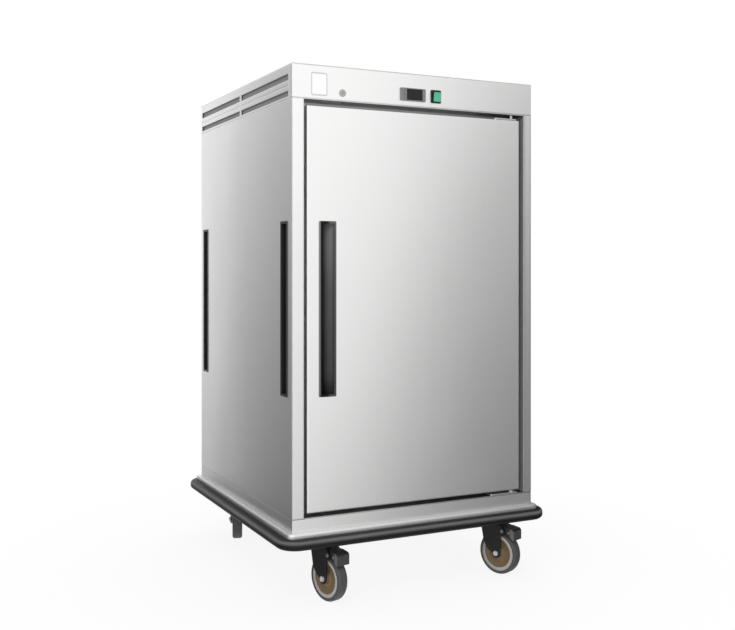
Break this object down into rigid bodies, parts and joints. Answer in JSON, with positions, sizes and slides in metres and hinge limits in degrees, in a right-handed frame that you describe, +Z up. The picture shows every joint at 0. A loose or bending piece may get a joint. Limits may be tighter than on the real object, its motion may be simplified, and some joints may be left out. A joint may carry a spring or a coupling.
{
  "type": "heated holding cabinet",
  "caption": "Insulated steel cabinet that keeps catering pans hot, with a right-hinged door, recessed grips, a control strip, side vents and a bumpered base on swivel casters.",
  "frame": {"origin": "on the floor, under the middle of the cabinet", "axes": "+X to the right seen from the door, +Y from the door to the back, +Z up"},
  "size_m": [0.84, 0.9002, 1.44],
  "materials": {
    "steel": "brushed stainless sheet",
    "chamber_steel": "plain stainless sheet",
    "tray_steel": "satin stainless",
    "frame_paint": "grey painted steel",
    "black_plastic": "moulded, fine grain",
    "bumper": "smooth black",
    "foam": "rigid foam",
    "gasket": "soft seal",
    "hinge_steel": "satin",
    "bush": "turned",
    "bezel_grey": "moulded, satin",
    "window_black": "smoked, glossy",
    "key_grey": "satin",
    "switch_black": "moulded",
    "rocker_green": "translucent, lit",
    "lock_chrome": "plated",
    "caster_black": "black coat",
    "zinc": "bright zinc",
    "tyre": "grey rubber",
    "hub": "moulded grey",
    "motor": "cast",
    "heater": "heat-tinted sheath"
  },
  "bodies": {
    "cabinet": {"left_side_panel": "steel", "right_side_panel": "steel", "back_panel": "steel", "left_vent_panel": "steel", "right_vent_panel": "steel", "top_cover": "steel", "door_frame": "steel", "control_fascia": "steel", "plinth": "steel", "inner_liner": "chamber_steel", "left_tray_rack": "chamber_steel", "right_tray_rack": "chamber_steel", "air_baffle": "chamber_steel", "hood_floor": "chamber_steel", "base_tray": "tray_steel", "base_frame": "frame_paint", "side_grips": "black_plastic", "power_inlet": "black_plastic", "bumper": "bumper", "insulation": "foam", "hinge_brackets": "hinge_steel", "controller_body": "bezel_grey", "controller_window": "window_black", "switch_frame": "switch_black", "lock_barrel": "lock_chrome", "caster_plates": "zinc", "caster_bolts": "zinc", "fan_motor": "motor", "heating_element": "heater", "temperature_probe": "heater"},
    "door": {"door_skin": "steel", "door_liner": "chamber_steel", "door_insulation": "foam", "door_handle": "black_plastic", "door_gasket": "gasket", "hinge_bushes": "bush"},
    "fan": {"fan_impeller": "motor"},
    "up_button": {"up_key": "key_grey"},
    "set_button": {"set_key": "key_grey"},
    "down_button": {"down_key": "key_grey"},
    "rocker": {"switch_rocker": "rocker_green"},
    "lock": {"lock_plug": "lock_chrome"},
    "front_left_swivel": {"front_left_fork": "caster_black", "front_left_axle": "zinc"},
    "front_left_wheel": {"front_left_tyre": "tyre", "front_left_hub": "hub"},
    "front_left_pedal": {"front_left_brake_pedal": "caster_black"},
    "front_right_swivel": {"front_right_fork": "caster_black", "front_right_axle": "zinc"},
    "front_right_wheel": {"front_right_tyre": "tyre", "front_right_hub": "hub"},
    "front_right_pedal": {"front_right_brake_pedal": "caster_black"},
    "rear_left_swivel": {"rear_left_fork": "caster_black", "rear_left_axle": "zinc"},
    "rear_left_wheel": {"rear_left_tyre": "tyre", "rear_left_hub": "hub"},
    "rear_right_swivel": {"rear_right_fork": "caster_black", "rear_right_axle": "zinc"},
    "rear_right_wheel": {"rear_right_tyre": "tyre", "rear_right_hub": "hub"}
  },
  "joints": [
    {"name": "door_hinge", "type": "hinge", "parent": "cabinet", "child": "door", "pos_m": [0.32, -0.393, 0.7885], "axis": [0, 0, 1], "range_deg": [0, 120]},
    {"name": "fan_spin", "type": "hinge", "parent": "cabinet", "child": "fan", "pos_m": [0, 0, 1.25], "axis": [0, 0, 1], "continuous": true},
    {"name": "lock_turn", "type": "hinge", "parent": "cabinet", "child": "lock", "pos_m": [-0.2342, -0.4, 1.3696], "axis": [0, -1, 0], "range_deg": [0, 90]},
    {"name": "switch_rock", "type": "hinge", "parent": "cabinet", "child": "rocker", "pos_m": [0.055, -0.409, 1.381], "axis": [-1, 0, 0], "range_deg": [0, 20]},
    {"name": "up_press", "type": "slide", "parent": "cabinet", "child": "up_button", "axis": [0, 1, 0], "range_m": [0, 0.0006], "stiffness_N_per_m": 300},
    {"name": "set_press", "type": "slide", "parent": "cabinet", "child": "set_button", "axis": [0, 1, 0], "range_m": [0, 0.0006], "stiffness_N_per_m": 300},
    {"name": "down_press", "type": "slide", "parent": "cabinet", "child": "down_button", "axis": [0, 1, 0], "range_m": [0, 0.0006], "stiffness_N_per_m": 300},
    {"name": "front_left_steer", "type": "hinge", "parent": "cabinet", "child": "front_left_swivel", "pos_m": [-0.273, -0.3535, 0.148], "axis": [0, 0, 1], "continuous": true},
    {"name": "front_left_roll", "type": "hinge", "parent": "front_left_swivel", "child": "front_left_wheel", "pos_m": [-0.26365, -0.38723, 0.0625], "axis": [0.9636, 0.2672, 0], "continuous": true},
    {"name": "front_left_brake", "type": "hinge", "parent": "front_left_swivel", "child": "front_left_pedal", "pos_m": [-0.25857, -0.40554, 0.13], "axis": [0.9636, 0.2672, 0], "range_deg": [0, 12]},
    {"name": "front_right_steer", "type": "hinge", "parent": "cabinet", "child": "front_right_swivel", "pos_m": [0.273, -0.3535, 0.148], "axis": [0, 0, 1], "continuous": true},
    {"name": "front_right_roll", "type": "hinge", "parent": "front_right_swivel", "child": "front_right_wheel", "pos_m": [0.28724, -0.38547, 0.0625], "axis": [0.9135, 0.4067, 0], "continuous": true},
    {"name": "front_right_brake", "type": "hinge", "parent": "front_right_swivel", "child": "front_right_pedal", "pos_m": [0.29496, -0.40283, 0.13], "axis": [0.9135, 0.4067, 0], "range_deg": [0, 12]},
    {"name": "rear_left_steer", "type": "hinge", "parent": "cabinet", "child": "rear_left_swivel", "pos_m": [-0.273, 0.3535, 0.148], "axis": [0, 0, 1], "continuous": true},
    {"name": "rear_left_roll", "type": "hinge", "parent": "rear_left_swivel", "child": "rear_left_wheel", "pos_m": [-0.28422, 0.32035, 0.0625], "axis": [0.9472, -0.3206, 0], "continuous": true},
    {"name": "rear_right_steer", "type": "hinge", "parent": "cabinet", "child": "rear_right_swivel", "pos_m": [0.273, 0.3535, 0.148], "axis": [0, 0, 1], "continuous": true},
    {"name": "rear_right_roll", "type": "hinge", "parent": "rear_right_swivel", "child": "rear_right_wheel", "pos_m": [0.27908, 0.31903, 0.0625], "axis": [0.9848, 0.1736, 0], "continuous": true}
  ]
}
